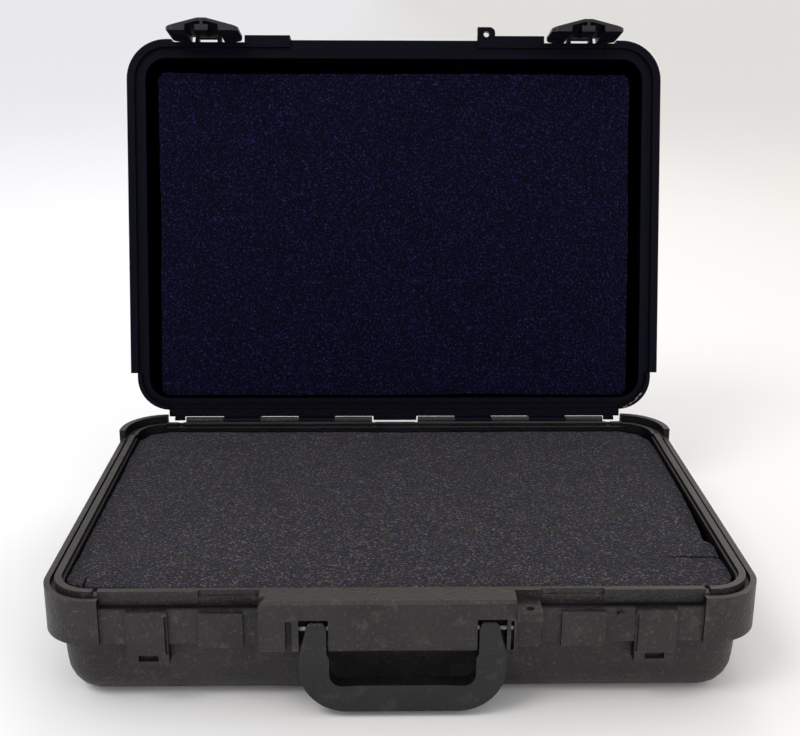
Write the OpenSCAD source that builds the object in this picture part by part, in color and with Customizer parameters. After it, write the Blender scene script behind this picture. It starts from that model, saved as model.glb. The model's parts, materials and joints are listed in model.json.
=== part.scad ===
// Hard carrying case for a laptop computer, standing open on a table.
// Base flat on the table, lid upright and leaning back on its hinge stops.
// Row frame: x to the right, y to the rear, z up, origin under the middle of the base.
// All sizes in millimetres.

/* [Case] */
// width of the base and lid over the rim
case_w = 460; // [380:1:560]
// depth of the base and lid over the rim
case_d = 325; // [260:1:420]
// height of the base from the table to the rim
base_h = 78; // [60:1:110]
// depth of the lid from the rim to its back
lid_h = 46; // [36:1:80]
// plan radius of the four corners
corner_r = 34; // [28:1:60]
// wall of the moulded shells
wall = 3; // [2:0.1:4]
// angle from closed to the lid resting on its stops
open_deg = 103.5; // [92:0.5:115]

/* [Rim] */
// height of the skirt band round the base
band_h = 31; // [20:1:44]
// height of the skirt band round the lid
lid_band_h = 24; // [14:1:30]
// how far the tub walls sit inside the band
tub_in = 7.5; // [6:0.5:9]
// thickness of the rim plate
rim_t = 6; // [4:0.5:9]
// gap between the closed rims
rim_gap = 0.3; // [0.2:0.1:0.8]
// height of the tongue above the base rim
tongue_h = 3; // [2:0.5:4]
// distance from the outside of the rim to the tongue
tongue_in = 7; // [6.5:0.1:8]
// thickness of the tongue
tongue_t = 4.5; // [3:0.1:5]
// distance from the outside of the rim to the groove in the base
groove_in = 3.8; // [3:0.1:5]
// clearance between the tongue and the groove in the lid
tongue_gap = 0.5; // [0.3:0.1:0.8]
// width of the rim plate of the lid
lid_rim_w = 16; // [14:0.5:20]
// bottom fillet of the base tub
tub_fillet = 25; // [12:1:28]
// back fillet of the lid dome
lid_fillet = 18; // [10:1:20]

/* [Corner guards] */
// how far the rear guards stand above the rim
guard_up = 7; // [4:0.5:8]
// how far the rear guards stand outside the band
guard_out = 2; // [1:0.5:4]
// how far the rear guards run forward along the sides
guard_len = 38; // [34:1:60]
// how far the lid corner steps in beside a guard
lid_step = 5.8; // [5:0.1:6]

/* [Hinge] */
// distance of the hinge axis behind the rear face
hinge_out = 4; // [3.9:0.1:5]
// radius of the hinge knuckles
knuckle_r = 3.7; // [3.2:0.1:3.7]
// radius of the steel hinge pins
hinge_pin_r = 1.5; // [1:0.1:2]
// inner end of each hinge from the middle
hinge_x0 = 20; // [12:1:60]
// outer end of each hinge from the middle
hinge_x1 = 182; // [120:1:184]
// gap between two knuckles
knuckle_gap = 0.4; // [0.3:0.1:0.8]
// gap between the stop heels and the rear face at full opening
stop_gap = 0.3; // [0.2:0.1:0.6]
// radial clearance of every running pin
pin_gap = 0.05; // [0.02:0.01:0.1]

/* [Front] */
// half width of the front between the two corner bands
front_x = 190; // [188:1:200]
// how far the outer lip is lowered behind the latches
lip_drop = 6.3; // [4:0.1:8]
// how far the face behind the latches is recessed
face_in = 2.5; // [1:0.1:3]
// left end of the handle block
block_x0 = -89.5; // [-110:0.5:-80]
// right end of the handle block
block_x1 = 70.5; // [70:0.5:70.5]
// how far the handle block stands out
block_out = 8; // [7:0.5:14]
// height of the handle block below the rim
block_drop = 32; // [31:0.5:36]
// half width of the hand pocket under the block
pocket_x = 53; // [40:1:54]
// depth of the hand pocket behind the front face
pocket_d = 26; // [16:1:27]

/* [Handle] */
// width of the handle over its arms
handle_w = 130; // [128:1:132]
// finger opening between the arms
grip_w = 92; // [90:1:94]
// distance from the handle axis to the far side of the grip
handle_len = 56.5; // [50:0.5:58]
// height of the grip
grip_h = 18; // [14:0.5:20]
// inner corner radius of the grip
grip_r = 8; // [6:0.5:15]
// thickness of the handle
handle_t = 11; // [8:0.5:11]
// width of each arm at its pin
arm_w = 13; // [10:0.5:13]
// depth of the handle axis below the rim
handle_drop = 17; // [17:0.5:20]
// distance of the handle axis in front of the face
handle_out = 3.5; // [3:0.1:4]
// radius of the handle pins
handle_pin_r = 2; // [1.5:0.1:2.5]
// half width of the block between the two arm pockets
arm_pocket_x0 = 46.4; // [46.4:0.1:46.6]
// outer side of the arm pockets
arm_pocket_x1 = 64.8; // [64.8:0.1:65]

/* [Latches] */
// distance of each latch from the middle
latch_x = 160; // [158:0.5:160.5]
// width of a latch over its finger wings
latch_w = 60; // [50:1:60]
// height of the lever from its axis to its free end
latch_len = 49; // [49:0.5:50]
// height of the lever above its axis
latch_top = 2.5; // [2:0.1:3]
// how far the crown of the lever stands out from the face
crown_out = 8; // [7.6:0.1:9]
// how far the wing tips stand out from the face
wing_out = 1; // [0.8:0.1:1.6]
// thickness of the lever wings
wing_t = 3.2; // [2.8:0.1:3.2]
// distance of the latch axis in front of the face
latch_axis_out = 3.2; // [3.1:0.1:3.4]
// height of the latch axis above the rim
latch_axis_up = 7; // [7:0.5:8]
// radius of the latch pins
latch_pin_r = 1.2; // [1:0.1:1.4]
// how far the lid plates stand out behind the latches
plate_out = 3.5; // [2:0.1:3.5]
// angle by which the levers hang open from snapped shut
latch_rest = 1.5; // [1:0.5:3]
// width of the snap nose
nose_w = 11; // [8:0.5:11.5]
// width of the snap slot under each pad
slot_w = 12.4; // [12.2:0.1:14]
// how far the nose enters the slot
nose_in = 2.2; // [1.5:0.1:2.3]
// height of the catch pads
pad_h = 30; // [28:0.5:30]
// width of the catch pads
pad_w = 26; // [20:0.5:26]
// inner side of the smaller pads beside them
small_pad_x0 = 100; // [98:0.5:104]
// outer side of the smaller pads
small_pad_x1 = 128; // [124:0.5:130]
// distance of the round knob to the right of the middle
knob_x = 137; // [136:0.5:140]
// radius of the round knob
knob_r = 2.25; // [1.5:0.05:3]
// width of the flat top of a lever's crown
crown_w = 7; // [5:0.5:9]
// width of the hollow under the crown
hollow_w = 28; // [27:0.5:29]
// thickness of the crown
crown_t = 2.6; // [2.2:0.1:2.8]
// half width of the knuckle of a lever
lever_knuckle = 7.4; // [6:0.1:8]
// width of each lug beside the knuckle
lug_w = 3.4; // [3:0.1:3.6]
// radius of the lugs round the latch pin
lug_r = 2.5; // [2.3:0.1:2.6]
// side clearance between knuckle and lugs
lug_gap = 0.4; // [0.2:0.1:0.6]
// corner radius at the free end of a lever
wing_r = 6; // [3:0.5:8]
// corner radius at the hinged end of a lever
shoulder_r = 10; // [6:0.5:12]

/* [Padlock ears] */
// distance of the ears to the right of the middle
ear_x = 79; // [79:0.1:79.2]
// width of the ears
ear_w = 15; // [12:0.5:15]
// how far the ears stand out
ear_out = 11; // [9:0.5:12]
// thickness of the ears
ear_t = 6; // [4:0.5:6]
// bore for the padlock
ear_bore = 5; // [4:0.1:6]
// distance of the bore in front of the face
ear_bore_out = 5; // [4.5:0.1:5.5]
// depth of the lower ear below the rim
ear_drop = 3.7; // [3:0.1:5]

/* [Foam] */
// gap between the base foam and the sides of the tub
foam_side = 13.4; // [13.2:0.1:16]
// front face of the base foam behind the front face
foam_front = 21; // [20:0.5:26]
// rear face of the base foam ahead of the rear face
foam_rear = 16; // [14:0.5:20]
// depth of the foam below the top of the tongue
foam_down = 6; // [5:0.5:12]
// thickness of the upper foam block
foam_t = 26; // [16:1:27]
// clearance round the filler block below
foam_gap = 0.3; // [0.2:0.1:0.6]
// how far the filler block stays inside the case outline
filler_in = 38; // [36:1:50]
// width of the slit in the base foam
slit_w = 1.6; // [0.8:0.1:3]
// distance of the slit behind the front face
slit_y = 63.5; // [50:0.5:90]
// inner end of the slit
slit_x = 174; // [150:1:195]
// gap between the lid foam and the outside of the lid
lid_foam_side = 26; // [22:0.5:30]
// margin behind the lid foam
lid_foam_rear = 17.5; // [17:0.5:28]
// margin in front of the lid foam
lid_foam_front = 28; // [22:0.5:30]
// thickness of the lid foam
lid_foam_t = 26; // [14:1:27]
// depth of the lid foam behind the rim of the lid
lid_foam_in = 2; // [1.8:0.1:4]

/* [Hidden] */
$fn = 48;
eps = 0.01;
front = -case_d / 2;
rear = case_d / 2;
rim_z = base_h;
lid_z = rim_z + rim_gap;
top_z = rim_z + lid_h;
hinge_y = rear + hinge_out;
tongue_out = tongue_in + tongue_t;
corner_x = case_w / 2 - corner_r;
guard_y = rear - guard_len;
knuckle_n = 5;
knuckle_w = (hinge_x1 - hinge_x0 - (knuckle_n - 1) * knuckle_gap) / knuckle_n;
handle_z = rim_z - handle_drop;
handle_y = front - handle_out;
pad_top = rim_z - 8;
pad_bottom = pad_top - pad_h;
latch_z = rim_z + latch_axis_up;
latch_y = front - latch_axis_out;
latch_end = latch_z - latch_len;
plate_l0 = -(latch_x - latch_w / 2 - 1.2);
plate_l1 = block_x0 - 0.5;
plate_r0 = block_x1 + 0.8;
lug_x0 = lever_knuckle + lug_gap;
lug_x1 = lug_x0 + lug_w;
wing_l = latch_len * 0.72;
plate_r1 = latch_x - latch_w / 2 - 1.2;
recess_x = latch_w / 2 + 1.2;
foam_top = rim_z + tongue_h - foam_down;

// Plan outline of the case moved inwards by i.
module outline(i) {
  w = case_w / 2 - i;
  d = case_d / 2 - i;
  r = max(corner_r - i, 3);
  square([2 * w, 2 * (d - r)], center = true);
  square([2 * (w - r), 2 * d], center = true);
  for (a = [-1, 1])
    for (b = [-1, 1])
      translate([a * (w - r), b * (d - r)])
        circle(r);
}

// Ring between two inset outlines.
module ring(i, j) {
  difference() {
    outline(i);
    outline(j);
  }
}

// The two rear corners, where guards stand and the lid steps in.
module rear_corners(extra = 0) {
  for (a = [-1, 1])
    translate([a * (corner_x + 1 - extra + 50), guard_y - extra + 50])
      square([100, 100], center = true);
}

// Lid ring whose rear corners are stepped in.
module lid_ring(i, j, ic, jc) {
  difference() {
    ring(i, j);
    rear_corners();
  }
  intersection() {
    ring(ic, jc);
    rear_corners();
  }
}

// One thin slice of a tub, for the smooth skins.
module slice(i, z) {
  translate([0, 0, z])
    linear_extrude(eps)
      outline(i, $fn = 32);
}

// Smooth skin of the base tub.
module tub_skin(off, top) {
  r = tub_fillet;
  hull() {
    slice(tub_in + off, top);
    for (a = [0 : 15 : 90])
      slice(tub_in + 4 + off + (r - off) * (1 - cos(a)), r - (r - off) * sin(a));
  }
}

// Smooth skin of the lid dome.
module dome_skin(off, low) {
  r = lid_fillet;
  hull() {
    slice(tub_in + lid_step - 5 + off, low);
    for (a = [0 : 15 : 90])
      slice(tub_in + 3 + off + (r - off) * (1 - cos(a)), top_z - r + (r - off) * sin(a) - eps);
  }
}

// Box given by its two corners.
module box(a, b) {
  translate(a)
    cube(b - a);
}

// Profile in the y and z plane drawn out from x0 to x1.
module along_x(x0, x1) {
  translate([x0, 0, 0])
    rotate([90, 0, 90])
      linear_extrude(x1 - x0)
        children();
}

// Rod along x.
module rod(x0, x1, y, z, r) {
  translate([x0, y, z])
    rotate([0, 90, 0])
      cylinder(h = x1 - x0, r = r);
}

// Moves the lid and all it carries from closed to open.
module opened() {
  translate([0, hinge_y, rim_z])
    rotate([-open_deg, 0, 0])
      translate([0, -hinge_y, -rim_z])
        children();
}

// Start of knuckle k on the right hinge.
function knuckle_x(k) = hinge_x0 + k * (knuckle_w + knuckle_gap);

// Place in the closed lid that comes to the point y, z behind the hinge axis when open.
function closed_pt(y, z) = [hinge_y + y * cos(open_deg) - z * sin(open_deg),
                            rim_z + y * sin(open_deg) + z * cos(open_deg)];

module base_knuckles(side) {
  for (k = [0, 2, 4]) {
    x0 = side > 0 ? knuckle_x(k) : -knuckle_x(k) - knuckle_w;
    along_x(x0, x0 + knuckle_w)
      union() {
        translate([hinge_y, rim_z])
          circle(knuckle_r);
        polygon([[rear - 1, rim_z - 14], [rear, rim_z - 14],
                 [hinge_y + knuckle_r * 0.87, rim_z - knuckle_r * 0.5],
                 [hinge_y, rim_z - 0.3], [rear - 1, rim_z - 0.3]]);
      }
  }
}

module lid_knuckles(side) {
  for (k = [1, 3]) {
    x0 = side > 0 ? knuckle_x(k) : -knuckle_x(k) - knuckle_w;
    along_x(x0, x0 + knuckle_w)
      union() {
        translate([hinge_y, rim_z])
          circle(knuckle_r);
        polygon([[rear - 1, rim_z + 14], [rear, rim_z + 14],
                 [hinge_y + knuckle_r * 0.87, rim_z + knuckle_r * 0.5],
                 [hinge_y, rim_z + 0.5], [rear - 1, rim_z + 0.5]]);
        polygon([[hinge_y, rim_z + knuckle_r], [hinge_y + 9, rim_z + knuckle_r - 1],
                 closed_pt(stop_gap - hinge_out, -9), closed_pt(stop_gap - hinge_out, -4.4),
                 [hinge_y, rim_z - 2]]);
      }
  }
}

// Block on the front that holds the handle, with its pockets.
module handle_block() {
  difference() {
    union() {
      along_x(block_x0, block_x1)
        polygon([[front + 10, rim_z - block_drop], [front - block_out + 1.5, rim_z - block_drop],
                 [front - block_out, rim_z - block_drop + 1.5],
                 [front - block_out, rim_z + tongue_h - 2],
                 [front - block_out + 2, rim_z + tongue_h],
                 [front + tongue_out, rim_z + tongue_h], [front + tongue_out, rim_z - rim_t - 6],
                 [front + 10, rim_z - rim_t - 8]]);
      // lower ear for a padlock
      box([block_x1 - eps, front - 2, rim_z - block_drop],
          [ear_x + ear_w / 2, front + 10, rim_z - ear_drop]);
      box([block_x1 - eps, front - ear_out, rim_z - ear_drop - ear_t],
          [ear_x + ear_w / 2, front - 1, rim_z - ear_drop]);
    }
    // chamfer at the upper left corner
    translate([block_x0, front - block_out - 1, rim_z + tongue_h])
      rotate([-90, 0, 0])
        linear_extrude(block_out + 0.9)
          polygon([[-1, -1], [5, -1], [-1, 5]]);
    // bore for a padlock
    translate([ear_x, front - ear_bore_out, rim_z - ear_drop - ear_t - 1])
      cylinder(h = ear_t + 2, d = ear_bore, $fn = 24);
    for (s = [-1, 1]) {
      // slot beside each pocket, where the pin is driven in
      if (s < 0)
        box([-arm_pocket_x1 - 8.2, front - block_out - 1, rim_z - block_drop - 1],
            [-arm_pocket_x1 - 4.2, front - block_out + 6, rim_z - 10.5]);
      else
        box([arm_pocket_x1 + 2.4, front - block_out - 1, rim_z - block_drop + 1],
            [arm_pocket_x1 + 4.4, front - block_out + 6, rim_z - 10.5]);
      // pin bores
      rod(s > 0 ? 40 : -70, s > 0 ? 70 : -40, handle_y, handle_z, handle_pin_r + pin_gap);
    }
  }
}

// Pockets for the arms of the handle, open at the front and below.
module arm_pockets() {
  for (s = [-1, 1])
    box([s > 0 ? arm_pocket_x0 : -arm_pocket_x1, front - block_out - 1, rim_z - block_drop - 1],
        [s > 0 ? arm_pocket_x1 : -arm_pocket_x0, front + 4.2, rim_z - 9.7]);
}

// Raised pad, backing and snap slot under one latch.
module catch_pad(x) {
  difference() {
    box([x - pad_w / 2, front, pad_bottom], [x + pad_w / 2, front + 10, pad_top]);
    // slit at the inner edge of the pad
    box([x - sign(x) * (pad_w / 2 - 1) - 1, front - 1, pad_bottom - 1],
        [x - sign(x) * (pad_w / 2 - 1) + 0.6, front + 2, pad_top - 3]);
  }
  difference() {
    box([x - pad_w / 2, front + 1.2, pad_bottom - 7], [x + pad_w / 2, front + 12, pad_bottom + 1]);
    box([x - slot_w / 2, front - 1, pad_bottom - 5], [x + slot_w / 2, front + 5, pad_bottom]);
  }
}

module base_shell() {
  color([0.25, 0.23, 0.22])
    difference() {
      union() {
        // tub with floor and walls, and the hand pocket let into its front
        difference() {
          union() {
            difference() {
              tub_skin(0, rim_z - 1);
              tub_skin(wall, rim_z - 1);
              box([-case_w, -case_d, rim_z - 1 - eps], [case_w, case_d, rim_z + 5]);
            }
            intersection() {
              tub_skin(0, rim_z - 1);
              difference() {
                box([-pocket_x - wall, front - 1, 0],
                    [pocket_x + wall, front + pocket_d + wall, rim_z - block_drop + wall]);
              }
            }
          }
          box([-pocket_x, front - 5, -1], [pocket_x, front + pocket_d, rim_z - block_drop]);
        }
        // rim plate with the tongue
        difference() {
          union() {
            translate([0, 0, rim_z - rim_t])
              linear_extrude(rim_t)
                ring(0, tongue_out + 1.5);
            translate([0, 0, rim_z - eps])
              linear_extrude(tongue_h + eps)
                difference() {
                  ring(tongue_in, tongue_out);
                  rear_corners();
                }
            translate([0, 0, rim_z - eps])
              linear_extrude(tongue_h + eps)
                intersection() {
                  ring(tongue_in + 3, tongue_out + 1.5);
                  rear_corners();
                }
          }
          // groove outside the tongue
          translate([0, 0, rim_z - 3.5])
            linear_extrude(4)
              difference() {
                ring(groove_in, tongue_in);
                rear_corners(3);
              }
          // breaks in the tongue
          for (s = [-1, 1]) {
            box([s * (front_x + 2.5) - 1.6, front - 1, rim_z],
                [s * (front_x + 2.5) + 1.6, front + 14, rim_z + 4]);
            box([s * (hinge_x0 - 1.7) - 1, rear - tongue_out - 2, rim_z],
                [s * (hinge_x0 - 1.7) + 1, rear, rim_z + tongue_h + 1]);
            box([s * (hinge_x1 + 3) - 2, rear - tongue_out - 2, rim_z],
                [s * (hinge_x1 + 3) + 2, rear, rim_z + tongue_h + 1]);
          }
          // lowered outer lip behind the latches
          for (s = [-1, 1])
            box([s > 0 ? block_x1 : -front_x, front - 1, rim_z - lip_drop],
                [s > 0 ? front_x : block_x0, front + tongue_in, rim_z + 1]);
          // set back tongue next to the handle block
          for (s = [-1, 1])
            box([s > 0 ? 86.5 : -128, front + 1, rim_z - lip_drop],
                [s > 0 ? 127 : block_x0, front + tongue_in + 2, rim_z + 5]);
        }
        // band
        difference() {
          translate([0, 0, rim_z - band_h])
            linear_extrude(band_h - 1)
              ring(0, wall);
          for (s = [-1, 1])
            box([s > 0 ? 0 : -front_x, front - 1, rim_z - band_h - 1],
                [s > 0 ? front_x : 0, front + tongue_in, rim_z + 1]);
        }
        // recessed face behind the latches
        box([-front_x, front + face_in, rim_z - band_h],
            [front_x, front + 10, rim_z - lip_drop]);
        for (s = [-1, 1]) {
          catch_pad(s * latch_x);
          // smaller pads beside the catch pads
          box([s > 0 ? small_pad_x0 : -small_pad_x1, front, rim_z - 33],
              [s > 0 ? small_pad_x1 : -small_pad_x0, front + 10, rim_z - 9]);
          // end walls of the corner bands
          box([s > 0 ? front_x : -front_x - 2.5, front, rim_z - band_h],
              [s > 0 ? front_x + 2.5 : -front_x, front + 8, rim_z - 1]);
        }
        // small round knob right of the middle
        translate([knob_x, front + face_in + 1, rim_z - 12])
          rotate([90, 0, 0])
            cylinder(h = 3.4, r = knob_r, $fn = 24);
        handle_block();
        // rear corner guards
        translate([0, 0, rim_z - band_h])
          linear_extrude(band_h + guard_up)
            intersection() {
              ring(-guard_out, wall);
              rear_corners();
            }
        // small ledge half way along the left side
        box([-case_w / 2 - 1.4, -40, rim_z - 28], [-case_w / 2 + 1, 40, rim_z - 23]);
        base_knuckles(1);
        base_knuckles(-1);
      }
      arm_pockets();
      for (s = [-1, 1])
        rod(s > 0 ? hinge_x0 - 5 : -hinge_x1 - 5, s > 0 ? hinge_x1 + 5 : 5 - hinge_x0,
            hinge_y, rim_z, hinge_pin_r + pin_gap);
    }
}

// Plate and lugs that carry one latch on the closed lid.
module latch_lugs(x) {
  for (s = [-1, 1])
    along_x(x + (s > 0 ? lug_x0 : -lug_x1), x + (s > 0 ? lug_x1 : -lug_x0))
      union() {
        translate([latch_y, latch_z])
          circle(lug_r);
        polygon([[front + face_in + 0.8, latch_z - 6], [latch_y, latch_z - lug_r],
                 [latch_y, latch_z + lug_r], [front + face_in + 0.8, latch_z + 6]]);
      }
}

module lid_closed() {
  difference() {
    union() {
      difference() {
        lid_body();
        for (s = [-1, 1])
          box([s * latch_x - recess_x, front - 10, lid_z - 1],
              [s * latch_x + recess_x, front + face_in, latch_z + 6]);
      }
      latch_lugs(latch_x);
      latch_lugs(-latch_x);
    }
    for (s = [-1, 1])
      rod(s * latch_x - lug_x1 - 1, s * latch_x + lug_x1 + 1,
          latch_y, latch_z, latch_pin_r + pin_gap);
  }
}

// Everything of the lid but the lugs and the recesses under the levers.
module lid_body() {
  difference() {
    union() {
      difference() {
        dome_skin(0, lid_z + rim_t - 2);
        dome_skin(wall, lid_z + rim_t - 3);
      }
      difference() {
        translate([0, 0, lid_z])
          linear_extrude(rim_t)
            lid_ring(0, lid_rim_w, lid_step, lid_rim_w);
        // groove for the tongue
        translate([0, 0, lid_z - 1])
          linear_extrude(tongue_h + 1 + tongue_gap - rim_gap)
            lid_ring(tongue_in - tongue_gap, tongue_out + tongue_gap,
                     tongue_in + 3 - tongue_gap, tongue_out + 1.5 + tongue_gap);
        // relief over the handle block
        box([block_x0 - 0.6, front - 1, lid_z - 1],
            [block_x1 + 0.6, front + tongue_out + tongue_gap, rim_z + tongue_h + tongue_gap]);
      }
      // band
      translate([0, 0, lid_z + 2])
        linear_extrude(lid_band_h - 2)
          difference() {
            union() {
              lid_ring(0, wall, lid_step, wall + lid_step);
              difference() {
                intersection() {
                  outline(0);
                  rear_corners(wall);
                }
                rear_corners();
                outline(wall + lid_step);
              }
            }
          }
      // latch plates
      difference() {
        union() {
          box([plate_l0, front - plate_out, lid_z], [plate_l1, front + 14, lid_z + 22]);
          box([plate_r0, front - plate_out, lid_z], [plate_r1, front + 14, lid_z + 22]);
        }
        box([-case_w, front + wall, lid_z + rim_t], [case_w, 0, top_z]);
        translate([0, 0, lid_z - 1])
          linear_extrude(tongue_h + 1 + tongue_gap - rim_gap)
            ring(tongue_in - tongue_gap, tongue_out + tongue_gap);
      }
      for (s = [-1, 1]) {
        // backing of the recess under a lever
        difference() {
          box([s * latch_x - recess_x - 2, front + face_in - 1, lid_z],
              [s * latch_x + recess_x + 2, front + face_in + wall, latch_z + 9]);
          translate([0, 0, lid_z - 1])
            linear_extrude(tongue_h + 1 + tongue_gap - rim_gap)
              ring(tongue_in - tongue_gap, tongue_out + tongue_gap);
        }
      }
      // upper ear for a padlock
      difference() {
        box([ear_x - ear_w / 2, front - ear_out, lid_z],
            [ear_x + ear_w / 2, front + 1, lid_z + ear_t]);
        difference() {
          box([ear_x + ear_w / 2 - 5, front - ear_out - 1, lid_z - 1],
              [ear_x + ear_w / 2 + 1, front - ear_out + 5, lid_z + ear_t + 1]);
          translate([ear_x + ear_w / 2 - 5, front - ear_out + 5, lid_z - 2])
            cylinder(h = ear_t + 4, r = 5);
        }
      }
      // ribs that the lid foam rests on
      for (y = [-84, -28, 28, 84])
        box([-case_w / 2 + 40, y - 1, lid_z + lid_foam_in + lid_foam_t + 0.3],
            [case_w / 2 - 40, y + 1, top_z - 1]);
      lid_knuckles(1);
      lid_knuckles(-1);
      // tabs between the hinges and beside them, closing the gap at the rear
      for (r = [[1.2 - hinge_x0, hinge_x0 - 1.2], [hinge_x1 + 1.4, hinge_x1 + 10],
                [-hinge_x1 - 10, -hinge_x1 - 1.4]]) {
        box([r[0], rear - lid_step - 0.6, lid_z], [r[1], rear + 3.4, lid_z + 3]);
        box([r[0], rear + 0.5, rim_z - 1.4], [r[1], rear + 3.4, lid_z + 1]);
      }
    }
    // clear of the handle block and of the ends of the tongue at the rear corners
    box([block_x0 - 0.6, front - 1, lid_z - 1],
        [block_x1 + 0.6, front + wall + 0.5, rim_z + tongue_h + tongue_gap]);
    for (s = [-1, 1]) {
      box([s * (corner_x - 0.5) - 2, rear - tongue_in - 3, lid_z - 1],
          [s * (corner_x - 0.5) + 2, rear - tongue_in + 0.5, rim_z + tongue_h + tongue_gap]);
      box([s * (case_w / 2 - tongue_in - 0.9) - 1.4, rear - corner_r - 7.5, lid_z - 1],
          [s * (case_w / 2 - tongue_in - 0.9) + 1.4, rear - corner_r - 3.5, rim_z + tongue_h + tongue_gap]);
    }
    // clear space above the bore, so that a shackle goes straight through
    box([ear_x - ear_w / 2 - 0.3, front - ear_out - 1, lid_z + ear_t],
        [ear_x + ear_w / 2 + 0.3, front - 0.2, lid_z + 30]);
    translate([ear_x, front - ear_bore_out, lid_z - 1])
      cylinder(h = ear_t + 2, d = ear_bore, $fn = 24);
    for (s = [-1, 1])
      rod(s > 0 ? hinge_x0 - 5 : -hinge_x1 - 5, s > 0 ? hinge_x1 + 5 : 5 - hinge_x0,
          hinge_y, rim_z, hinge_pin_r + pin_gap);
  }
}

module lid_shell() {
  color([0.10, 0.10, 0.13])
    opened()
      lid_closed();
}

module hinge_pin(side) {
  color([0.6, 0.6, 0.6])
    rod(side > 0 ? hinge_x0 + 1 : -hinge_x1 + 1, side > 0 ? hinge_x1 - 1 : -hinge_x0 - 1,
        hinge_y, rim_z, hinge_pin_r, $fn = 24);
}

module hinge_pin_left() {
  hinge_pin(-1);
}

module hinge_pin_right() {
  hinge_pin(1);
}

// Points of an arc.
function arc(x, y, r, a0, a1, n) =
  [for (k = [0 : n]) [x + r * cos(a0 + (a1 - a0) * k / n), y + r * sin(a0 + (a1 - a0) * k / n)]];

// Right half of the handle outline, from the middle of the grip round to its underside.
function handle_half(hw, gw, ax, ro, ri) =
  concat([[gw - ri - 12, -handle_len + grip_h + 0.6]],
         arc(gw - ri, -handle_len + grip_h + ri, ri, -88, 0, 10),
         [[gw, -19], [ax - arm_w / 2, -16]],
         arc(ax, 0, arm_w / 2, 180, 0, 16),
         [[hw, -18]],
         arc(hw - ro, -handle_len + ro, ro, 0, -90, 14));

// Handle hanging straight down from its pins.
module carry_handle() {
  hw = handle_w / 2;
  gw = grip_w / 2;
  half = handle_half(hw, gw, arm_pocket_x0 + 1.2 + arm_w / 2, 30, grip_r);
  n = len(half);
  color([0.16, 0.15, 0.15])
    difference() {
      intersection() {
        union() {
          box([-hw - 1, handle_y - handle_t, 0], [hw + 1, handle_y + handle_t, handle_z]);
          rod(-hw - 1, hw + 1, handle_y, handle_z, handle_t / 2 + 0.5);
        }
        translate([0, handle_y + handle_t / 2, handle_z])
          rotate([90, 0, 0])
            linear_extrude(handle_t)
              polygon(concat(half, [for (k = [n - 1 : -1 : 0]) [-half[k][0], half[k][1]]]));
      }
      rod(-70, 70, handle_y, handle_z, handle_pin_r + pin_gap);
    }
}

module handle_pin_left() {
  color([0.6, 0.6, 0.6])
    rod(-69, -41, handle_y, handle_z, handle_pin_r, $fn = 24);
}

module handle_pin_right() {
  color([0.6, 0.6, 0.6])
    rod(41, 69, handle_y, handle_z, handle_pin_r, $fn = 24);
}

// Height of the arched lever above the face at distance u from its middle.
function arch(u) =
  wing_out + (crown_out - wing_out) *
    min(1, (latch_w / 2 - abs(u)) / (latch_w / 2 - crown_w / 2));

// End profile of a lever, u across and v outwards.
module lever_profile() {
  hw = latch_w / 2;
  polygon(concat([for (k = [-20 : 20]) [k / 20 * hw, arch(k / 20 * hw)]],
                 [[hw, wing_out - wing_t + 1.2], [hw - 1.2, wing_out - wing_t]],
                 [[1.2 - hw, wing_out - wing_t], [-hw, wing_out - wing_t + 1.2]]));
}

// Hollow of a lever, left open towards the lid.
module lever_hollow() {
  h = hollow_w / 2;
  polygon(concat([for (k = [-12 : 12]) [k / 12 * (h - 0.5), arch(k / 12 * (h - 0.5)) - crown_t]],
                 [[h, wing_out - wing_t - 1], [-h, wing_out - wing_t - 1]]));
}

// Room to swing: behind the pin, and beside the knuckle for the lugs.
module lever_space() {
  box([-latch_w, latch_y, latch_z - 1.5], [latch_w, front + 10, latch_z + 10]);
  for (s = [-1, 1])
    box([s > 0 ? lever_knuckle : -lug_x1 - lug_gap, front - 20, latch_z - 3.5],
        [s > 0 ? lug_x1 + lug_gap : -lever_knuckle, front + 10, latch_z + 10]);
}

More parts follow.
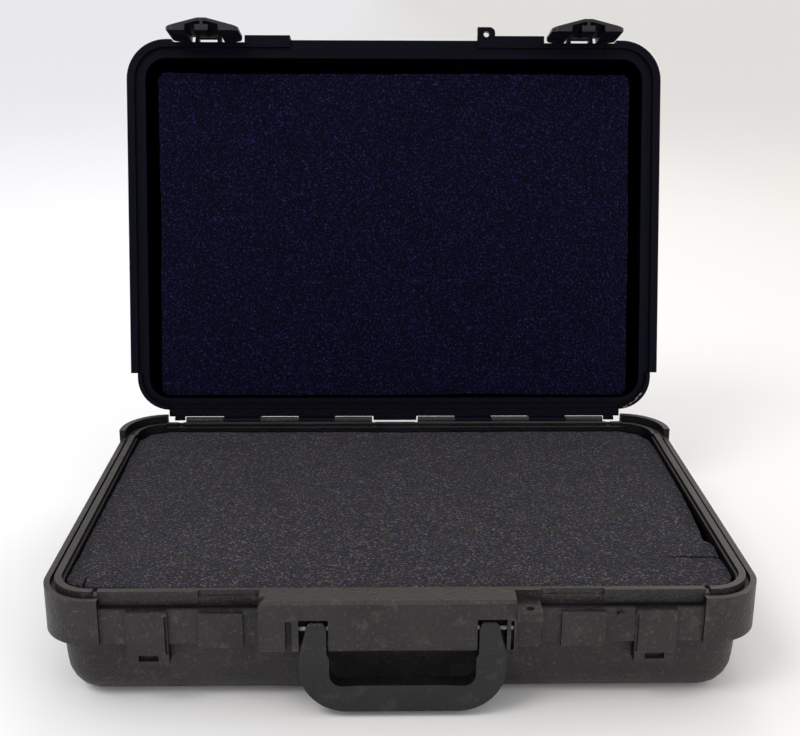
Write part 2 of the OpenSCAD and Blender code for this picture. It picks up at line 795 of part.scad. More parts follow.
// Lever snapped shut on the closed case, then let out by its rest angle.
module latch(x) {
  color([0.08, 0.08, 0.10])
    opened()
      translate([x, latch_y, latch_z])
        rotate([-latch_rest, 0, 0])
          translate([0, -latch_y, -latch_z])
            difference() {
              union() {
                intersection() {
                  difference() {
                    translate([0, front, latch_end])
                      mirror([0, 1, 0])
                        linear_extrude(latch_len + latch_top)
                          difference() {
                            lever_profile();
                            lever_hollow();
                          }
                    lever_space();
                  }
                  // rounded plan of the wings
                  translate([0, front - 30, 0])
                    rotate([-90, 0, 0])
                      linear_extrude(40)
                        union() {
                          translate([-latch_w / 2, -latch_end - wing_l])
                            square([latch_w, wing_l - wing_r]);
                          translate([-latch_w / 2 + wing_r, -latch_end - wing_r - 2])
                            square([latch_w - 2 * wing_r, wing_r + 2]);
                          for (s = [-1, 1]) {
                            translate([s * (latch_w / 2 - wing_r), -latch_end - wing_r])
                              circle(wing_r);
                            translate([s * (latch_w / 2 - shoulder_r), -latch_end - wing_l])
                              circle(shoulder_r);
                          }
                          translate([-latch_w / 2 + shoulder_r, -latch_end - latch_len - latch_top])
                            square([latch_w - 2 * shoulder_r, latch_len]);
                        }
                }
                // rib from the knuckle to the free end
                along_x(-1.2, 1.2)
                  polygon([[front - crown_out + 1.5, latch_end], [front - 1, latch_end],
                           [front - 1, pad_bottom + 2], [front - 2.4, pad_bottom + 8],
                           [front - 2.4, latch_z - 1], [front - crown_out + 1.5, latch_z - 1]]);
                // knuckle
                along_x(-lever_knuckle, lever_knuckle)
                  union() {
                    translate([latch_y, latch_z])
                      circle(2.6);
                    polygon([[front - crown_out + 1.5, latch_z - 2.6], [latch_y, latch_z - 2.6],
                             [latch_y, latch_z + 2.4], [front - crown_out + 1.5, latch_z + 2.4]]);
                  }
                // snap nose
                along_x(-nose_w / 2, nose_w / 2)
                  polygon([[front - 2.6, latch_end], [front + nose_in - 1.2, latch_end],
                           [front + nose_in, latch_end + 0.8], [front + nose_in, pad_bottom - 0.4],
                           [front - 2.6, pad_bottom - 0.4]]);
              }
              rod(-lever_knuckle - 1, lever_knuckle + 1,
                  latch_y, latch_z, latch_pin_r + pin_gap);
              // dimple over the round knob
              if (x > 0)
                translate([knob_x - latch_x, front + 3, rim_z - 12])
                  rotate([90, 0, 0])
                    cylinder(h = 3.5, r = knob_r + 0.8, $fn = 24);
            }
}

module latch_left() {
  latch(-latch_x);
}

module latch_right() {
  latch(latch_x);
}

module latch_pin(x) {
  color([0.6, 0.6, 0.6])
    opened()
      rod(x - lug_x1 + 0.2, x + lug_x1 - 0.2, latch_y, latch_z, latch_pin_r, $fn = 24);
}

module latch_pin_left() {
  latch_pin(-latch_x);
}

module latch_pin_right() {
  latch_pin(latch_x);
}

// Plan of the base foam with its slit, cut corner and gently uneven right edge.
module foam_plan() {
  w = case_w / 2 - foam_side;
  f = front + foam_front;
  b = rear - foam_rear;
  difference() {
    union() {
      polygon([[-w, f + 15], [-w + 4, f + 8], [-w + 14, f + 8], [-w + 14, f],
               [w - 8, f], [w - 2.5, f + 6], [w, f + 15], [w, b - 20], [-w, b - 20]]);
      translate([-w + 14, f + 10])
        square([2 * w - 28, b - f - 10]);
      for (s = [-1, 1])
        translate([s * (w - 20), b - 20])
          circle(20);
    }
    // uneven right edge
    polygon([for (k = [0 : 24])
               [w - 0.6 - 0.9 * sin(k * 47) - 0.7 * sin(k * 100), f + 14 + k * (b - f - 46) / 24],
             [w + 5, b - 32], [w + 5, f + 14]]);
    // slit in from the right
    translate([slit_x, front + slit_y - slit_w / 2])
      square([case_w, slit_w]);
    // cut at the front left
    translate([-w + 12.4, f - 1])
      square([1.6, 28]);
  }
}

module base_foam() {
  color([0.20, 0.20, 0.21])
    translate([0, 0, foam_top - foam_t])
      linear_extrude(foam_t)
        foam_plan();
}

module base_foam_filler() {
  color([0.20, 0.20, 0.21])
    translate([0, 0, wall + foam_gap])
      linear_extrude(foam_top - foam_t - wall - 2 * foam_gap)
        outline(filler_in);
}

module lid_foam() {
  color([0.14, 0.14, 0.18])
    opened()
      translate([0, 0, lid_z + lid_foam_in])
        linear_extrude(lid_foam_t)
          intersection() {
            outline(lid_foam_rear, $fn = 32);
            translate([lid_foam_side - case_w / 2, front + lid_foam_front])
              square([case_w - 2 * lid_foam_side, case_d]);
          }
}

base_shell();
lid_shell();
hinge_pin_left();
hinge_pin_right();
carry_handle();
handle_pin_left();
handle_pin_right();
latch_left();
latch_right();
latch_pin_left();
latch_pin_right();
base_foam();
base_foam_filler();
lid_foam();
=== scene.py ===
import json
import math
import bmesh
import bpy
from mathutils import Matrix, Vector, noise


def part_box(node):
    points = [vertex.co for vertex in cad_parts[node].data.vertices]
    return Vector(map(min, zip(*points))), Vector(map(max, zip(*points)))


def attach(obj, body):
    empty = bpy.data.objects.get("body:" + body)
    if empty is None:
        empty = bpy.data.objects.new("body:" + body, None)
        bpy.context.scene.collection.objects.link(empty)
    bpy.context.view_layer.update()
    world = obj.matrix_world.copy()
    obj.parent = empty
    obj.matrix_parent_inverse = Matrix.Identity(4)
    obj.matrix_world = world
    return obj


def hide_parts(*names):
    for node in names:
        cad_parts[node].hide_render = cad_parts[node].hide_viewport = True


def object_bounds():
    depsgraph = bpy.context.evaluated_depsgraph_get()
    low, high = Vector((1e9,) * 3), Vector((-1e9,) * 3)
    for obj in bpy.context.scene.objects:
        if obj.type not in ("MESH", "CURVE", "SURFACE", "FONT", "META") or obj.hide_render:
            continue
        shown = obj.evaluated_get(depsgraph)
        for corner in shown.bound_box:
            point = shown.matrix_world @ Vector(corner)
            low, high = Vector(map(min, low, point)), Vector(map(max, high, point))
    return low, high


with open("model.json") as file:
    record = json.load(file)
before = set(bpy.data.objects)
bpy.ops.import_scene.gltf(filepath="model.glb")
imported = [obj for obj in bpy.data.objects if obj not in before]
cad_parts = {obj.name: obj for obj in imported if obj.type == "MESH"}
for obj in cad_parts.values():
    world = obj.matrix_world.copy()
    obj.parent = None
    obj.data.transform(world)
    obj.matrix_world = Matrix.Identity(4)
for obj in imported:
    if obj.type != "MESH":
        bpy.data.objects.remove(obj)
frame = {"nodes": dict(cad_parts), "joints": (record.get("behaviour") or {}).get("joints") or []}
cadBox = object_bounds()
scene = bpy.context.scene
noise.seed_set(5)      # without a seed the foam and the splinters differ from run to run
print("frame loaded:", len(frame["nodes"]), "nodes")


def addObject(name, data):
    obj = bpy.data.objects.new(name, data)
    scene.collection.objects.link(obj)
    return obj


# camera first, standing in front of the open case and looking down a little
cameraSet = {
    "place": (-0.0163, -0.8485, 0.4437),
    "lens": 55.3,        # mm
    "sensor": 36,        # mm, its width
    "down": 17.36,       # degrees below level
    "turn": 1.16,        # degrees towards the right
    "roll": -0.26,
    "near": 0.05,
    "far": 60,
}


def placeCamera(s):
    down, turn, roll = (math.radians(s[k]) for k in ("down", "turn", "roll"))
    ahead = Vector((math.sin(turn) * math.cos(down),
                    math.cos(turn) * math.cos(down),
                    -math.sin(down)))
    level = Vector((math.cos(turn), -math.sin(turn), 0))
    under = ahead.cross(level)
    right = level * math.cos(roll) + under * math.sin(roll)
    below = -level * math.sin(roll) + under * math.cos(roll)
    data = bpy.data.cameras.new("photoCamera")
    data.lens = s["lens"]
    data.sensor_width = s["sensor"]
    data.clip_start = s["near"]
    data.clip_end = s["far"]
    cam = addObject("photoCamera", data)
    turned = Matrix((right, -below, -ahead)).transposed().to_4x4()
    turned.translation = Vector(s["place"])
    cam.matrix_world = turned
    scene.camera = cam


placeCamera(cameraSet)
print("camera placed")


# a few short helpers for shader trees
def newMaterial(name):
    mat = bpy.data.materials.new(name)
    mat.use_nodes = True
    tree = mat.node_tree
    shader = tree.nodes["Principled BSDF"]
    where = tree.nodes.new("ShaderNodeTexCoord")
    return mat, tree, shader, where.outputs["Object"]


def noiseNode(tree, coords, size, detail=2.0, rough=0.5):
    n = tree.nodes.new("ShaderNodeTexNoise")
    n.inputs["Scale"].default_value = 1.0 / size      # size in metres
    n.inputs["Detail"].default_value = detail
    n.inputs["Roughness"].default_value = rough
    tree.links.new(coords, n.inputs["Vector"])
    return n.outputs["Fac"]


def cellNode(tree, coords, size):
    n = tree.nodes.new("ShaderNodeTexVoronoi")
    n.inputs["Scale"].default_value = 1.0 / size
    tree.links.new(coords, n.inputs["Vector"])
    return n.outputs["Distance"]


def rampNode(tree, fac, stops):
    n = tree.nodes.new("ShaderNodeValToRGB")
    first, last = stops[0], stops[-1]
    n.color_ramp.elements[0].position = first[0]
    n.color_ramp.elements[0].color = (*first[1], 1)
    n.color_ramp.elements[1].position = last[0]
    n.color_ramp.elements[1].color = (*last[1], 1)
    for at, colour in stops[1:-1]:
        n.color_ramp.elements.new(at).color = (*colour, 1)
    tree.links.new(fac, n.inputs["Fac"])
    return n.outputs["Color"]


def rangeNode(tree, value, low, high, a, b):
    n = tree.nodes.new("ShaderNodeMapRange")
    for key, v in (("From Min", low), ("From Max", high), ("To Min", a), ("To Max", b)):
        n.inputs[key].default_value = v
    tree.links.new(value, n.inputs["Value"])
    return n.outputs["Result"]


def mixNode(tree, fac, a, b, blend="MIX"):
    n = tree.nodes.new("ShaderNodeMix")
    n.data_type = "RGBA"
    n.blend_type = blend
    if isinstance(fac, float):
        n.inputs[0].default_value = fac
    else:
        tree.links.new(fac, n.inputs[0])
    for socket, v in ((6, a), (7, b)):
        if isinstance(v, tuple):
            n.inputs[socket].default_value = (*v, 1)
        else:
            tree.links.new(v, n.inputs[socket])
    return n.outputs[2]


def bumpNode(tree, height, depth, strength=1.0, under=None):
    n = tree.nodes.new("ShaderNodeBump")
    n.inputs["Strength"].default_value = strength
    n.inputs["Distance"].default_value = depth        # metres
    tree.links.new(height, n.inputs["Height"])
    if under is not None:
        tree.links.new(under, n.inputs["Normal"])
    return n.outputs["Normal"]


def vectorNode(tree, operation, a, b=None):
    n = tree.nodes.new("ShaderNodeVectorMath")
    n.operation = operation
    for socket, v in ((0, a), (1, b)):
        if isinstance(v, tuple):
            n.inputs[socket].default_value = v
        elif v is not None:
            tree.links.new(v, n.inputs[socket])
    return n.outputs["Value" if operation == "DOT_PRODUCT" else "Vector"]


def timesNode(tree, a, b):
    n = tree.nodes.new("ShaderNodeMath")
    n.operation = "MULTIPLY"
    tree.links.new(a, n.inputs[0])
    tree.links.new(b, n.inputs[1])
    return n.outputs[0]


def splitNode(tree, vector):
    n = tree.nodes.new("ShaderNodeSeparateXYZ")
    tree.links.new(vector, n.inputs["Vector"])
    return n.outputs


# a colour in 0 to 255 steps, made linear
def shade(colour):
    return tuple(v / 255 / 12.92 if v < 10.3 else ((v / 255 + 0.055) / 1.055) ** 2.4
                 for v in colour)


# moulded plastic with a pebbled grain, dust in the grain and rubbed patches
shellFinish = {
    "basePlastic": {
        "dark": (29, 26, 26), "mid": (40, 37, 37), "rubbed": (88, 82, 78),
        # the darkest colour is painted shade for inward faces and the front shelves; the rim
        # colour is a painted highlight on the rim's upper faces
        "paintedShade": (3, 3, 10), "rim": (76, 70, 66),
        "rough": 0.46, "grain": 0.0019, "depth": 0.00032, "shine": 0.3, "fleck": 0.5,
    },
    "lidPlastic": {
        # the lid's dark, mid and rubbed colours are painted shade: its inside is made navy-black
        # as if it lay in shadow; outside and dust are the plastic's own colours
        "dark": (1, 1, 9), "mid": (2, 2, 17), "rubbed": (8, 8, 30),
        "outside": (34, 31, 32), "dust": (70, 66, 63),
        "rough": 0.4, "grain": 0.0016, "depth": 0.0002, "shine": 0.07, "fleck": 0.25,
    },
    "handlePlastic": {
        "dark": (15, 14, 16), "mid": (22, 20, 22), "rubbed": (70, 66, 67),
        "rough": 0.3, "grain": 0.0015, "depth": 0.00018, "shine": 0.36, "fleck": 0.3,
    },
    "latchPlastic": {
        "dark": (4, 4, 11), "mid": (9, 9, 19), "rubbed": (44, 46, 50),
        "rough": 0.34, "grain": 0.0012, "depth": 0.00008, "shine": 0.4, "fleck": 0.3,
    },
}

# sizes in metres that all four plastics share
mouldSet = {
    "patch": 0.035,      # broad changes of colour and gloss
    "worn": 0.012,       # rubbed patches
    "swell": 0.0004,     # rise and fall of the broad patches
}

# where painted shade and painted highlight fall on the base and the lid
paintedLightSet = {
    "flatten": (0.72, 1, 0),                # weighs the way out from the middle of the base
    "inward": (-0.25, -0.05),               # faces that look inwards
    "lidMiddle": (0.0, 0.2057, 0.2398),     # middle of the lid's rim plane while it stands open
    "outward": (0.08, 0.16),                # faces of the lid that look outwards
    "upward": (0.55, 0.95),                 # faces that look up
    "rimHeight": (0.0735, 0.0765),
    "rimHighlightAmount": 0.55,
    "across": (-0.2, 0.24),                 # from the left end of the rim to the right
    "acrossHighlightAmount": (0.55, 1.3),
    "shelfEdge": 0.0004,
}

# shelves between the tongue and the front band, painted near-black as shade in the groove
shadedShelves = [
    ((-0.1895, -0.1605, 0.0705), (-0.0895, -0.1558, 0.0792)),
    ((0.0870, -0.1605, 0.0705), (0.1895, -0.1558, 0.0792)),
]


# faces of the base that look inwards get a painted shade, a near-black colour
def inwardShadeMask(tree):
    where = tree.nodes.new("ShaderNodeNewGeometry")
    flat = vectorNode(tree, "MULTIPLY", where.outputs["Position"], paintedLightSet["flatten"])
    unit = vectorNode(tree, "NORMALIZE", flat)
    dot = vectorNode(tree, "DOT_PRODUCT", unit, where.outputs["Normal"])
    return rangeNode(tree, dot, *paintedLightSet["inward"], 1.0, 0.0)


# the outside of the lid is as dusty as the base; its inside keeps the painted shade of its
# navy-black colours
def outsideMask(tree, coords):
    where = tree.nodes.new("ShaderNodeTexCoord")
    away = vectorNode(tree, "SUBTRACT", coords, paintedLightSet["lidMiddle"])
    unit = vectorNode(tree, "NORMALIZE", away)
    dot = vectorNode(tree, "DOT_PRODUCT", unit, where.outputs["Normal"])
    return rangeNode(tree, dot, *paintedLightSet["outward"], 0.0, 1.0)


# the upper faces of the rim get a painted highlight, strongest on the right
def upperFaceHighlightMask(tree):
    where = tree.nodes.new("ShaderNodeNewGeometry")
    way = splitNode(tree, where.outputs["Normal"])
    spot = splitNode(tree, where.outputs["Position"])
    upward = rangeNode(tree, way["Z"], *paintedLightSet["upward"], 0.0, paintedLightSet["rimHighlightAmount"])
    high = rangeNode(tree, spot["Z"], *paintedLightSet["rimHeight"], 0.0, 1.0)
    across = rangeNode(tree, spot["X"], *paintedLightSet["across"], *paintedLightSet["acrossHighlightAmount"])
    return timesNode(tree, timesNode(tree, upward, high), across)


# a soft-edged block of space, 1 inside and 0 outside
def blockMask(tree, coords, low, high, soft):
    split = splitNode(tree, coords)
    out = None
    for axis in (0, 1, 2):
        for edge, start, stop in ((low[axis], 0.0, 1.0), (high[axis], 1.0, 0.0)):
            side = rangeNode(tree, split[axis], edge - soft, edge + soft, start, stop)
            out = side if out is None else timesNode(tree, out, side)
    return out


def pebbledPlastic(name):
    s = shellFinish[name]
    mat, tree, shader, coords = newMaterial(name)
    broad = noiseNode(tree, coords, mouldSet["patch"], 3, 0.55)
    fine = noiseNode(tree, coords, s["grain"] * 1.3, 3, 0.65)
    pebble = cellNode(tree, coords, s["grain"])
    rubbed = shade(s["rubbed"])
    body = rampNode(tree, broad, [(0.35, shade(s["dark"])), (0.62, shade(s["mid"]))])
    patches = noiseNode(tree, coords, mouldSet["worn"], 5, 0.7)
    body = mixNode(tree, rangeNode(tree, patches, 0.56, 0.78, 0.0, 0.5), body, rubbed)
    flecks = rangeNode(tree, fine, 0.56, 0.72, 0.0, s["fleck"])
    body = mixNode(tree, flecks, body, rubbed)
    # the lid's inside keeps its painted shade; its outside gets the plastic's own dusty grey
    if "outside" in s:
        dusty = mixNode(tree, flecks, shade(s["outside"]), shade(s["dust"]))
        body = mixNode(tree, outsideMask(tree, coords), body, dusty)
    # the base's painted shade on inward faces and in the front shelves, and a painted highlight on
    # the rim's upper faces
    if "paintedShade" in s:
        paintedShade = shade(s["paintedShade"])
        body = mixNode(tree, inwardShadeMask(tree), body, paintedShade)
        body = mixNode(tree, upperFaceHighlightMask(tree), body, shade(s["rim"]))
        for low, high in shadedShelves:
            shelf = blockMask(tree, coords, low, high, paintedLightSet["shelfEdge"])
            body = mixNode(tree, shelf, body, paintedShade)
    tree.links.new(body, shader.inputs["Base Color"])
    gloss = rangeNode(tree, broad, 0.3, 0.7, s["rough"] - 0.06, s["rough"] + 0.1)
    tree.links.new(gloss, shader.inputs["Roughness"])
    low = bumpNode(tree, broad, mouldSet["swell"], 0.5)
    grain = bumpNode(tree, pebble, s["depth"], 0.9, low)
    tree.links.new(bumpNode(tree, fine, s["depth"] * 0.8, 0.8, grain), shader.inputs["Normal"])
    shader.inputs["Specular IOR Level"].default_value = s["shine"]
    shader.inputs["IOR"].default_value = 1.5
    return mat


# drawn steel of the pins, faint lines along the length and small stains
pinSet = {
    "bright": (150, 150, 152),
    "dull": (96, 94, 94),
    "rough": 0.34,
    "stretch": (0.04, 1, 1),     # draws the lines out along the pin
    "line": 0.0004,
    "stain": 0.006,
    "depth": 0.00003,
}


def drawnSteel(name):
    s = pinSet
    mat, tree, shader, coords = newMaterial(name)
    stretch = tree.nodes.new("ShaderNodeMapping")
    stretch.inputs["Scale"].default_value = s["stretch"]
    tree.links.new(coords, stretch.inputs["Vector"])
    lines = noiseNode(tree, stretch.outputs["Vector"], s["line"], 2, 0.6)
    stain = noiseNode(tree, coords, s["stain"], 4, 0.6)
    colour = rampNode(tree, stain, [(0.4, shade(s["dull"])), (0.6, shade(s["bright"]))])
    tree.links.new(colour, shader.inputs["Base Color"])
    gloss = rangeNode(tree, lines, 0.3, 0.7, s["rough"] - 0.08, s["rough"] + 0.12)
    tree.links.new(gloss, shader.inputs["Roughness"])
    tree.links.new(bumpNode(tree, lines, s["depth"], 0.6), shader.inputs["Normal"])
    shader.inputs["Metallic"].default_value = 1.0
    return mat


# open-cell foam: dark pits between bright strands of the cell walls
foamFinish = {
    "baseFoamCells": {"pit": (20, 19, 25), "cell": (43, 41, 46), "strand": (118, 113, 120),
                      "size": 0.0021, "depth": 0.0012},
    # the lid's foam colours are painted shade: darker and bluer than the base's foam, as the
    # inside of the standing lid lies in shadow
    "lidFoamCells": {"pit": (0, 0, 8), "cell": (0, 1, 20), "strand": (40, 42, 92),
                     "size": 0.002, "depth": 0.0008},
}

# small changes of tint and darkness that both foams share
foamSet = {
    "cool": (0.9, 0.95, 1.12),
    "warm": (1.1, 1.02, 0.88),
    "tint": 0.006,       # size of a tinted spot, metres
    "patch": 0.02,       # size of a darker patch, metres
}


def cellFoam(name):
    s = foamFinish[name]
    pit, cell, strand = (shade(s[k]) for k in ("pit", "cell", "strand"))
    mat, tree, shader, coords = newMaterial(name)
    pits = cellNode(tree, coords, s["size"])
    small = noiseNode(tree, coords, s["size"] * 0.8, 3, 0.7)
    patch = noiseNode(tree, coords, foamSet["patch"], 3, 0.6)
    colour = rampNode(tree, pits, [(0.12, pit), (0.42, cell), (0.8, cell)])
    bright = rangeNode(tree, small, 0.54, 0.7, 0.0, 0.95)
    colour = mixNode(tree, bright, colour, strand)
    spots = noiseNode(tree, coords, foamSet["tint"], 2)
    tints = rampNode(tree, spots, [(0.4, foamSet["cool"]), (0.6, foamSet["warm"])])
    colour = mixNode(tree, 1.0, colour, tints, "MULTIPLY")
    shadeOff = rangeNode(tree, patch, 0.35, 0.65, 0.0, 0.22)
    colour = mixNode(tree, shadeOff, colour, pit)
    tree.links.new(colour, shader.inputs["Base Color"])
    deep = bumpNode(tree, pits, s["depth"], 0.9)
    tree.links.new(bumpNode(tree, small, s["depth"] * 0.6, 0.8, deep), shader.inputs["Normal"])
    shader.inputs["Roughness"].default_value = 0.95
    shader.inputs["Specular IOR Level"].default_value = 0.08
    shader.inputs["Sheen Weight"].default_value = 0.04
    return mat


finishes = {n: pebbledPlastic(n) for n in shellFinish}
finishes["pinSteel"] = drawnSteel("pinSteel")
finishes.update({n: cellFoam(n) for n in foamFinish})
print("finishes made:", len(finishes))

# moulded pieces carried over from the frame, with the width of their eased edges in metres
mouldedPieces = {
    "base_shell": ("basePlastic", 0.0007),
    "lid_shell": ("lidPlastic", 0.0007),
    "carry_handle": ("handlePlastic", 0.0028),
    "latch_left": ("latchPlastic", 0.0005),
    "latch_right": ("latchPlastic", 0.0005),
}
edgeSet = {
    "weld": 0.000012,
    "flat": 0.8,         # degrees, faces nearer to level than this are joined
    "corner": 32,        # degrees, corners sharper than this are eased
    "wide": 0.002,       # an edge wider than this gets more steps
    "even": 60,
    "pinEdge": 0.0002,
}


def easeEdges(node, finish, width):
    obj = frame["nodes"][node]
    mesh = obj.data
    if "custom_normal" in mesh.attributes:
        mesh.attributes.remove(mesh.attributes["custom_normal"])
    mesh.shade_smooth()
    mesh.materials.clear()
    mesh.materials.append(finish)
    weld = obj.modifiers.new("weld", "WELD")
    weld.merge_threshold = edgeSet["weld"]
    flat = obj.modifiers.new("flat", "DECIMATE")
    flat.decimate_type = "DISSOLVE"
    flat.angle_limit = math.radians(edgeSet["flat"])
    rounded = obj.modifiers.new("round", "BEVEL")
    rounded.width = width
    rounded.segments = 4 if width > edgeSet["wide"] else 2
    rounded.limit_method = "ANGLE"
    rounded.angle_limit = math.radians(edgeSet["corner"])
    rounded.use_clamp_overlap = True
    rounded.miter_outer = "MITER_ARC"
    even = obj.modifiers.new("even", "WEIGHTED_NORMAL")
    even.keep_sharp = True
    even.weight = edgeSet["even"]


for node, (finish, width) in mouldedPieces.items():
    easeEdges(node, finishes[finish], width)
for node in frame["nodes"]:
    if "pin" in node.split("_"):
        easeEdges(node, finishes["pinSteel"], edgeSet["pinEdge"])
print("moulded pieces finished")

# splinters of a cracked corner, low on the right of the lid's rim
crackSet = {
    "colour": (150, 142, 132),
    "torn": (40, 38, 40),
    # x and distance from the rear edge, mm, while the lid is closed
    "path": [(216.9, 19.6), (214.2, 16.6), (211.6, 14), (208.6, 11.6), (206.2, 9.6),
             (203.2, 8), (200.6, 7.2)],
    "rear": 0.1625,      # y of the rear edge
    "height": 0.0782,    # just clear of the rim
    "steps": 6,          # between two points of the path
    "wide": 0.0011,
    "ridge": 0.00008,
    "sway": 0.0012,
    "swayPitch": 420,
    "beat": (0.47, 0.6),     # how the width comes and goes along the path
}


def crackLine(s, toOpen):
    bm = bmesh.new()
    points = [Vector((x / 1000, s["rear"] - y / 1000, s["height"])) for x, y in s["path"]]
    fine = [points[0]]
    for a, b in zip(points, points[1:]):
        fine += [a.lerp(b, k / s["steps"]) for k in range(1, s["steps"] + 1)]
    rows = []
    for k, p in enumerate(fine):
        swing = noise.noise_vector(p * s["swayPitch"]) * s["sway"]
        half = s["wide"] * (0.25 + 0.75 * abs(math.sin(k * s["beat"][0] + s["beat"][1])))
        mid = p + Vector((swing.x, swing.y, 0))
        rows.append([bm.verts.new(mid + Vector((-half, half * 0.4, 0))),
                     bm.verts.new(mid + Vector((0, 0, -s["ridge"]))),
                     bm.verts.new(mid + Vector((half, -half * 0.4, 0)))])
    for a, b in zip(rows, rows[1:]):
        for k in (0, 1):
            bm.faces.new((a[k], a[k + 1], b[k + 1], b[k]))
    bm.normal_update()
    mesh = bpy.data.meshes.new("rimCrack")
    bm.to_mesh(mesh)
    bm.free()
    obj = addObject("rimCrack", mesh)
    mesh.transform(toOpen)
    mat, tree, shader, coords = newMaterial("tornPlastic")
    pale = rampNode(tree, noiseNode(tree, coords, 0.0022, 4, 0.7),
                    [(0.36, shade(s["torn"])), (0.6, shade(s["colour"]))])
    tree.links.new(pale, shader.inputs["Base Color"])
    chips = bumpNode(tree, noiseNode(tree, coords, 0.0006, 3), 0.0002)
    tree.links.new(chips, shader.inputs["Normal"])
    shader.inputs["Roughness"].default_value = 0.7
    mesh.materials.append(mat)
    return obj


# foam pads, each cut from one sheet: outline, then a fine grid pushed about by noise
padSet = {
    "grid": 0.0065,      # spacing of the cuts over a pad that shows
    "hiddenGrid": 0.014,
    "sway": 0.0007,      # slow rise and fall
    "swayPitch": 22,
    "rough": 0.00045,    # cut surface
    "roughPitch": 160,
    "softEdge": 0.0012,
    "corner": 50,        # degrees, corners sharper than this are softened
    "hiddenGap": 0.0008,     # clearance above and below the hidden block
    "lidGap": 0.0006,        # and on both faces of the lid's pad
}


def softPush(p, seed):
    slow = noise.noise_vector((p + Vector((seed, 0, 0))) * padSet["swayPitch"]) * padSet["sway"]
    quick = noise.noise_vector((p + Vector((0, seed, 0))) * padSet["roughPitch"]) * padSet["rough"]
    return slow + quick


def foamPad(name, outline, low, high, turn, seed, finish, grid):
    bm = bmesh.new()
    ring = [bm.verts.new((x, y, low)) for x, y in outline]
    bm.faces.new(ring)
    side = bmesh.ops.extrude_face_region(bm, geom=list(bm.faces))
    raised = [g for g in side["geom"] if isinstance(g, bmesh.types.BMVert)]
    bmesh.ops.translate(bm, verts=raised, vec=(0, 0, high - low))
    bmesh.ops.recalc_face_normals(bm, faces=bm.faces)
    for axis in (0, 1, 2):
        reach = [v.co[axis] for v in bm.verts]
        start, stop = min(reach), max(reach)
        count = max(2, round((stop - start) / grid))
        normal = Vector((axis == 0, axis == 1, axis == 2))
        for k in range(1, count):
            at = start + (stop - start) * k / count
            bmesh.ops.bisect_plane(bm, geom=list(bm.verts) + list(bm.edges) + list(bm.faces),
                                   dist=1e-6, plane_co=normal * at, plane_no=normal)
    for v in bm.verts:
        v.co += softPush(v.co, seed)
    for f in bm.faces:
        f.smooth = True
    mesh = bpy.data.meshes.new(name)
    bm.to_mesh(mesh)
    bm.free()
    obj = addObject(name, mesh)
    mesh.transform(turn)
    mesh.materials.append(finish)
    soft = obj.modifiers.new("softEdge", "BEVEL")
    soft.width = padSet["softEdge"]
    soft.segments = 2
    soft.limit_method = "ANGLE"
    soft.angle_limit = math.radians(padSet["corner"])
    return obj


def mm(points, x0, y0):
    return [(x0 + x / 1000, y0 + y / 1000) for x, y in points]


# upper pad of the base, outline in mm from the middle of its front edge
lo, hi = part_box("base_foam")
wide = (hi.x - lo.x) / 2 * 1000
deep = (hi.y - lo.y) * 1000
baseOutline = [
    # left front corner with its slit
    (-wide, 16), (-wide + 2, 10), (-wide + 11, 6.5), (-wide + 12.1, 19), (-wide + 12.7, 19),
    (-wide + 14, 4),
    # front edge
    (-150, 1.4), (-96, 0.4), (-40, 1.6), (24, 0.6), (92, 1.8), (150, 0.6), (wide - 30, 1.5),
    (wide - 9, 4.2), (wide - 3.2, 9), (wide - 0.6, 16), (wide - 0.5, 30), (wide - 1.2, 41.8),
    # long slit that runs in from the right
    (wide - 24, 42.6), (wide - 43, 43.2), (wide - 43, 44.0), (wide - 24, 45.4),
    (wide - 1.4, 44.6),
    # right edge with its cut step
    (wide - 0.6, 58), (wide - 2.2, 66), (wide - 5.8, 69), (wide - 4.4, 90), (wide - 2.2, 120),
    (wide - 1, 180),
    # rear edge and back down the left
    (wide - 1.2, deep - 24), (wide - 8, deep - 9), (wide - 22, deep - 1), (60, deep - 0.6),
    (-70, deep - 1.1), (-wide + 24, deep - 0.8), (-wide + 8, deep - 8), (-wide + 1, deep - 22),
    (-wide + 0.6, 120),
]
baseFoam = foamPad("baseFoamPad", mm(baseOutline, (lo.x + hi.x) / 2, lo.y), lo.z, hi.z,
                   Matrix.Identity(4), 3.1, finishes["baseFoamCells"], padSet["grid"])
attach(baseFoam, "base")
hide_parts("base_foam")

# hidden block below it
lo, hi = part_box("base_foam_filler")
wide = (hi.x - lo.x) / 2 * 1000
deep = (hi.y - lo.y) * 1000
fillerOutline = [
    (-wide + 9, 0.4), (0, 0.8), (wide - 9, 0.4), (wide - 0.4, 9), (wide - 0.8, deep / 2),
    (wide - 0.4, deep - 9), (wide - 9, deep - 0.4), (0, deep - 0.8), (-wide + 9, deep - 0.4),
    (-wide + 0.4, deep - 9), (-wide + 0.8, deep / 2), (-wide + 0.4, 9),
]
fillerFoam = foamPad("underFoamPad", mm(fillerOutline, (lo.x + hi.x) / 2, lo.y),
                     lo.z + padSet["hiddenGap"], hi.z - padSet["hiddenGap"],
                     Matrix.Identity(4), 8.4, finishes["baseFoamCells"], padSet["hiddenGrid"])
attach(fillerFoam, "base")
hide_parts("base_foam_filler")
print("base foam cut")

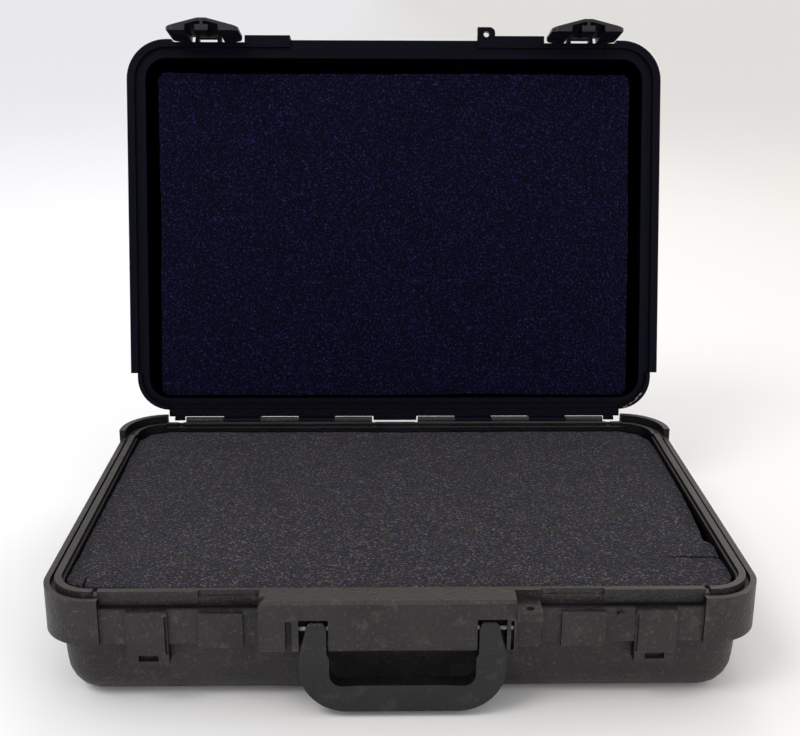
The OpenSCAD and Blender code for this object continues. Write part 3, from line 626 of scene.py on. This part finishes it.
# the lid's pad is cut level, as if the lid were closed, and then turned up with it
hinge = next(j for j in frame["joints"] if j["name"] == "lid_hinge")
hingeAt = Vector(hinge["pos_m"])
openTurn = math.radians(hinge["range_deg"][1])
toClosed = (Matrix.Translation(hingeAt) @ Matrix.Rotation(openTurn, 4, "X")
            @ Matrix.Translation(-hingeAt))
toOpen = toClosed.inverted()
flatLid = [toClosed @ v.co for v in frame["nodes"]["lid_foam"].data.vertices]
x0, x1 = min(p.x for p in flatLid), max(p.x for p in flatLid)
y0, y1 = min(p.y for p in flatLid), max(p.y for p in flatLid)
z0, z1 = min(p.z for p in flatLid), max(p.z for p in flatLid)
long, deep = (x1 - x0) * 1000, (y1 - y0) * 1000
lidOutline = [
    (5, 0.6), (long * 0.3, 1.2), (long * 0.6, 0.5), (long - 5, 1), (long - 0.8, 5),
    (long - 1.4, deep * 0.3), (long - 0.5, deep * 0.6), (long - 1, deep - 5),
    (long - 5, deep - 0.8), (long * 0.7, deep - 1.6), (long * 0.35, deep - 0.7),
    (5, deep - 1.2), (0.8, deep - 5), (1.6, deep * 0.5), (0.7, 5),
]
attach(crackLine(crackSet, toOpen), "lid")
lidFoam = foamPad("lidFoamPad", mm(lidOutline, x0, y0), z0 + padSet["lidGap"],
                  z1 - padSet["lidGap"], toOpen, 5.7, finishes["lidFoamCells"], padSet["grid"])
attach(lidFoam, "lid")
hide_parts("lid_foam")
print("lid foam cut")

# pale floor running far back, so no line shows behind the case
floorSet = {
    # the floor is painted lighter on the left and darker and warmer on the right, a painted
    # fall-off of the light
    "left": (250, 250, 251),
    "right": (240, 237, 232),
    "across": (-0.5, 0.9),       # from the left tint to the right one
    "rough": 0.7,
    "size": 90.0,
    "below": 0.0003,             # under the lowest point of the case
}
lightSet = {
    "sky": ((0.985, 0.985, 1.0), 0.86),
    "aim": (0, 0, 0.15),
    "key": {"at": (-1.3, -1.3, 2.4), "size": 1.2, "power": 24, "colour": (1, 0.985, 0.96)},
    "fill": {"at": (1.5, -1.7, 1.0), "size": 1.6, "power": 6, "colour": (1, 0.97, 0.94)},
    "back": {"at": (0.3, 1.5, 2.2), "size": 1.4, "power": 10, "colour": (1, 0.99, 0.98)},
}


def layFloor(s):
    mesh = bpy.data.meshes.new("paleFloor")
    h = s["size"]
    mesh.from_pydata([(-h, -h, 0), (h, -h, 0), (h, h, 0), (-h, h, 0)], [], [(0, 1, 2, 3)])
    floor = addObject("paleFloor", mesh)
    floor.location.z = cadBox[0].z - s["below"]
    mat, tree, shader, coords = newMaterial("palePaper")
    # painted fall-off of light across the floor, darker to the right
    across = rangeNode(tree, splitNode(tree, coords)["X"], *s["across"], 0.0, 1.0)
    tint = mixNode(tree, across, shade(s["left"]), shade(s["right"]))
    tree.links.new(tint, shader.inputs["Base Color"])
    fibres = bumpNode(tree, noiseNode(tree, coords, 0.003, 3), 0.00003, 0.3)
    tree.links.new(fibres, shader.inputs["Normal"])
    shader.inputs["Roughness"].default_value = s["rough"]
    shader.inputs["Specular IOR Level"].default_value = 0.2
    mesh.materials.append(mat)


def hangLight(name, s):
    data = bpy.data.lights.new(name, "AREA")
    data.shape = "DISK"
    data.size = s["size"]
    data.energy = s["power"]
    data.color = s["colour"]
    lamp = addObject(name, data)
    lamp.location = s["at"]
    toCase = Vector(lightSet["aim"]) - Vector(s["at"])
    lamp.rotation_euler = toCase.to_track_quat("-Z", "Y").to_euler()


layFloor(floorSet)
for lampName in ("key", "fill", "back"):
    hangLight(lampName + "Light", lightSet[lampName])
world = bpy.data.worlds.new("studio")
world.use_nodes = True
sky = world.node_tree.nodes["Background"]
sky.inputs["Color"].default_value = (*lightSet["sky"][0], 1)
sky.inputs["Strength"].default_value = lightSet["sky"][1]
scene.world = world
scene.view_settings.view_transform = "Standard"
print("floor and lights set")
